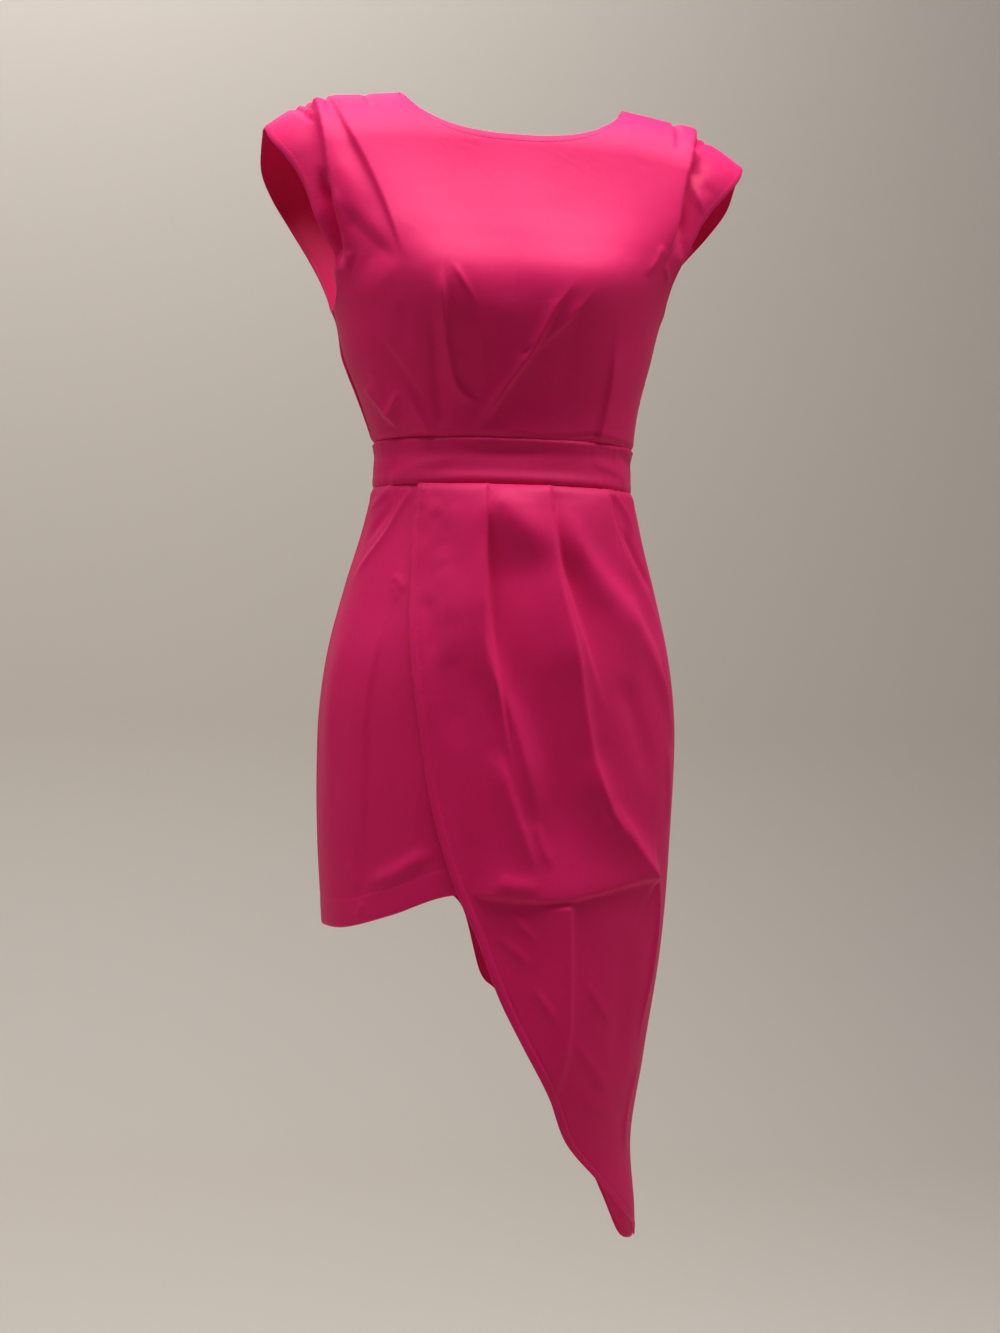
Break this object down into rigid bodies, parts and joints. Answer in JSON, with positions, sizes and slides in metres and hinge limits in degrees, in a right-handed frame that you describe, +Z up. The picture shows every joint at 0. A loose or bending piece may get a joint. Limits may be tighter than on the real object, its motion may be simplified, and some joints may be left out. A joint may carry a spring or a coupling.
{
  "type": "asymmetric pleated dress",
  "caption": "Pink pleated dress with cap shoulders, a boat neck, an open back, an inset waistband and a wrapped skirt that slants from a short left side to a long right tip.",
  "frame": {"origin": "midway between the two neck points, on the line of the shoulder seams, where the wearer's shoulders carry the dress", "axes": "+Z up along the dress from hem to shoulders, the front faces -Y, +X is to the right as the front is seen"},
  "size_m": [0.4608, 0.2613, 1.0852],
  "materials": {
    "pink_satin_crepe": "satin"
  },
  "bodies": {
    "root": {"bodice_front": "pink_satin_crepe", "bodice_back_left": "pink_satin_crepe", "bodice_back_right": "pink_satin_crepe", "waistband_front": "pink_satin_crepe", "waistband_back": "pink_satin_crepe", "skirt_front_under": "pink_satin_crepe", "skirt_front_overlay": "pink_satin_crepe", "skirt_back": "pink_satin_crepe"}
  },
  "joints": []
}
